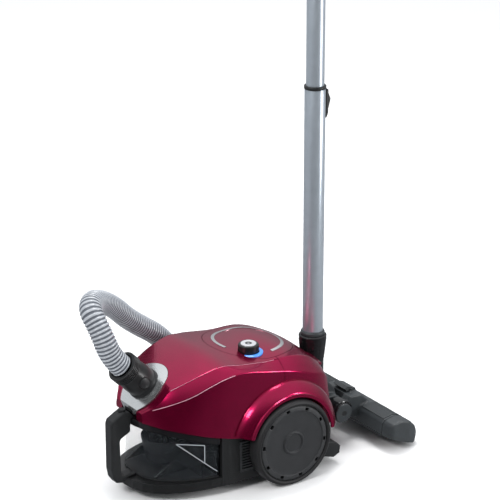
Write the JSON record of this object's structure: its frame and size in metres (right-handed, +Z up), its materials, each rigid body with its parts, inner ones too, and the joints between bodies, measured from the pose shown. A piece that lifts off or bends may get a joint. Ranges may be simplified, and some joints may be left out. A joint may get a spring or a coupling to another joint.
{
  "type": "canister vacuum cleaner",
  "caption": "Bagless canister vacuum cleaner with clear dust bin, large rear wheels, corrugated hose, and telescopic wand with floor nozzle parked upright behind it.",
  "frame": {"origin": "on the floor, under the centre of the cleaner with its parked wand and nozzle", "axes": "+Z up, -Y towards the dust bin and carrying handle, +X the cleaner's left side"},
  "size_m": [0.5834, 0.5851, 0.835],
  "materials": {
    "red_plastic": "high gloss metallic cherry red",
    "black_gloss": "gloss black",
    "black_matte": "fine moulded texture",
    "grey_plastic": "dark grey moulded",
    "silver_paint": "satin silver paint",
    "clear_bin": "clear smoked plastic",
    "tyre_rubber": "soft matt black",
    "tube_metal": "satin chromed steel",
    "hose_plastic": "silver grey corrugated",
    "blue_light": "translucent lit blue",
    "white_cap": "satin silver white",
    "steel": "plain",
    "filter_paper": "pleated paper",
    "board": "circuit board",
    "bristle": "short bristles"
  },
  "bodies": {
    "canister": {"hood": "red_plastic", "side_panel_left": "red_plastic", "side_panel_right": "red_plastic", "rear_cover": "red_plastic", "control_panel": "red_plastic", "wheel_arches": "red_plastic", "lower_housing": "black_gloss", "exhaust_grilles": "black_gloss", "rear_bumper": "black_matte", "axles": "steel", "inlet_bezel": "silver_paint", "hose_elbow": "black_gloss", "hose_cuff": "black_matte", "hose": "hose_plastic", "hose_end_collar": "black_matte", "hand_grip": "black_matte", "knob_light_ring": "blue_light", "panel_ring": "silver_paint", "motor_casing": "black_matte", "circuit_board": "board", "exhaust_filter": "filter_paper", "cord_outlet": "black_matte", "housing_screws": "steel"},
    "wheel_left": {"tyre_left": "tyre_rubber", "wheel_disc_left": "black_matte"},
    "wheel_right": {"tyre_right": "tyre_rubber", "wheel_disc_right": "black_matte"},
    "caster": {"caster_fork": "black_matte"},
    "caster_roller": {"caster_wheel": "black_matte"},
    "bin": {"dust_container": "clear_bin", "bin_floor": "black_matte", "bin_lid": "black_gloss", "bin_handle": "black_matte", "cyclone_cone": "black_matte", "pleated_filter": "filter_paper", "bin_baffles": "grey_plastic"},
    "bin_button": {"bin_release_button": "black_matte"},
    "latch_left": {"elbow_latch_left": "black_gloss"},
    "latch_right": {"elbow_latch_right": "black_gloss"},
    "knob": {"power_knob": "black_gloss"},
    "knob_button": {"power_button": "white_cap"},
    "valve": {"suction_valve": "black_matte"},
    "rotor": {"motor_rotor": "steel"},
    "reel": {"cord_reel": "black_matte"},
    "wand": {"wand_socket": "black_gloss", "socket_ring": "grey_plastic", "lower_tube": "tube_metal", "tube_collar": "black_matte", "tube_lock_housing": "black_matte"},
    "inner_tube": {"upper_tube": "tube_metal"},
    "tube_lock": {"tube_lock_slider": "black_matte"},
    "nozzle_neck": {"nozzle_elbow": "grey_plastic"},
    "nozzle_head": {"nozzle_cover": "grey_plastic", "nozzle_pads": "grey_plastic", "nozzle_caps": "grey_plastic", "roller_pins": "steel", "nozzle_sole": "grey_plastic"},
    "rollers": {"nozzle_rollers": "grey_plastic"},
    "pedal": {"nozzle_pedal": "grey_plastic"},
    "brushes": {"brush_strips": "bristle"}
  },
  "joints": [
    {"name": "wheel_left_spin", "type": "hinge", "parent": "canister", "child": "wheel_left", "pos_m": [0.12, 0.004, 0.075], "axis": [1, 0, 0], "continuous": true},
    {"name": "wheel_right_spin", "type": "hinge", "parent": "canister", "child": "wheel_right", "pos_m": [-0.12, 0.004, 0.075], "axis": [1, 0, 0], "continuous": true},
    {"name": "caster_swivel", "type": "hinge", "parent": "canister", "child": "caster", "pos_m": [0, -0.188, 0.02], "axis": [0, 0, 1], "continuous": true},
    {"name": "caster_spin", "type": "hinge", "parent": "caster", "child": "caster_roller", "pos_m": [0, -0.18, 0.0075], "axis": [1, 0, 0], "continuous": true},
    {"name": "bin_pull", "type": "slide", "parent": "canister", "child": "bin", "axis": [0, -1, 0], "range_m": [0, 0.2]},
    {"name": "bin_button_press", "type": "slide", "parent": "bin", "child": "bin_button", "axis": [0, 0, -1], "range_m": [0, 0.003], "stiffness_N_per_m": 300},
    {"name": "latch_left_press", "type": "slide", "parent": "canister", "child": "latch_left", "axis": [-1, 0, 0], "range_m": [0, 0.002], "stiffness_N_per_m": 300},
    {"name": "latch_right_press", "type": "slide", "parent": "canister", "child": "latch_right", "axis": [1, 0, 0], "range_m": [0, 0.002], "stiffness_N_per_m": 300},
    {"name": "knob_turn", "type": "hinge", "parent": "canister", "child": "knob", "pos_m": [0.042, -0.027, 0.22], "axis": [0, 0, 1], "range_deg": [-135, 135]},
    {"name": "power_press", "type": "slide", "parent": "knob", "child": "knob_button", "axis": [0, 0, -1], "range_m": [0, 0.002], "stiffness_N_per_m": 400},
    {"name": "valve_turn", "type": "hinge", "parent": "canister", "child": "valve", "pos_m": [-0.1733, 0.0225, 0.08], "axis": [0, 0, 1], "range_deg": [0, 90]},
    {"name": "rotor_spin", "type": "hinge", "parent": "canister", "child": "rotor", "pos_m": [0.038, -0.035, 0.116], "axis": [0, 1, 0], "continuous": true},
    {"name": "reel_spin", "type": "hinge", "parent": "canister", "child": "reel", "pos_m": [-0.058, 0.004, 0.075], "axis": [1, 0, 0], "continuous": true},
    {"name": "wand_lift", "type": "slide", "parent": "canister", "child": "wand", "axis": [0, 0, 1], "range_m": [0, 0.15]},
    {"name": "tube_extend", "type": "slide", "parent": "wand", "child": "inner_tube", "axis": [0, 0, 1], "range_m": [0, 0.28]},
    {"name": "tube_lock_press", "type": "slide", "parent": "wand", "child": "tube_lock", "axis": [0, 0, 1], "range_m": [0, 0.005], "stiffness_N_per_m": 300},
    {"name": "neck_swivel", "type": "hinge", "parent": "wand", "child": "nozzle_neck", "pos_m": [0, 0.134, 0.12], "axis": [0, 0, 1], "range_deg": [-10, 10]},
    {"name": "head_pitch", "type": "hinge", "parent": "nozzle_neck", "child": "nozzle_head", "pos_m": [0, 0.158, 0.062], "axis": [1, 0, 0], "range_deg": [0, 45]},
    {"name": "roller_spin", "type": "hinge", "parent": "nozzle_head", "child": "rollers", "pos_m": [0.05, 0.158, 0.062], "axis": [1, 0, 0], "continuous": true},
    {"name": "pedal_rock", "type": "hinge", "parent": "nozzle_head", "child": "pedal", "pos_m": [0, 0.205, 0.079], "axis": [1, 0, 0], "range_deg": [0, 8]},
    {"name": "brush_shift", "type": "slide", "parent": "nozzle_head", "child": "brushes", "axis": [0, 0.3875, 0.9219], "range_m": [0, 0.0031]}
  ],
  "couplings": [
    {"joint": "brush_shift", "follows": "pedal_rock", "m_per_rad": 0.0215}
  ]
}
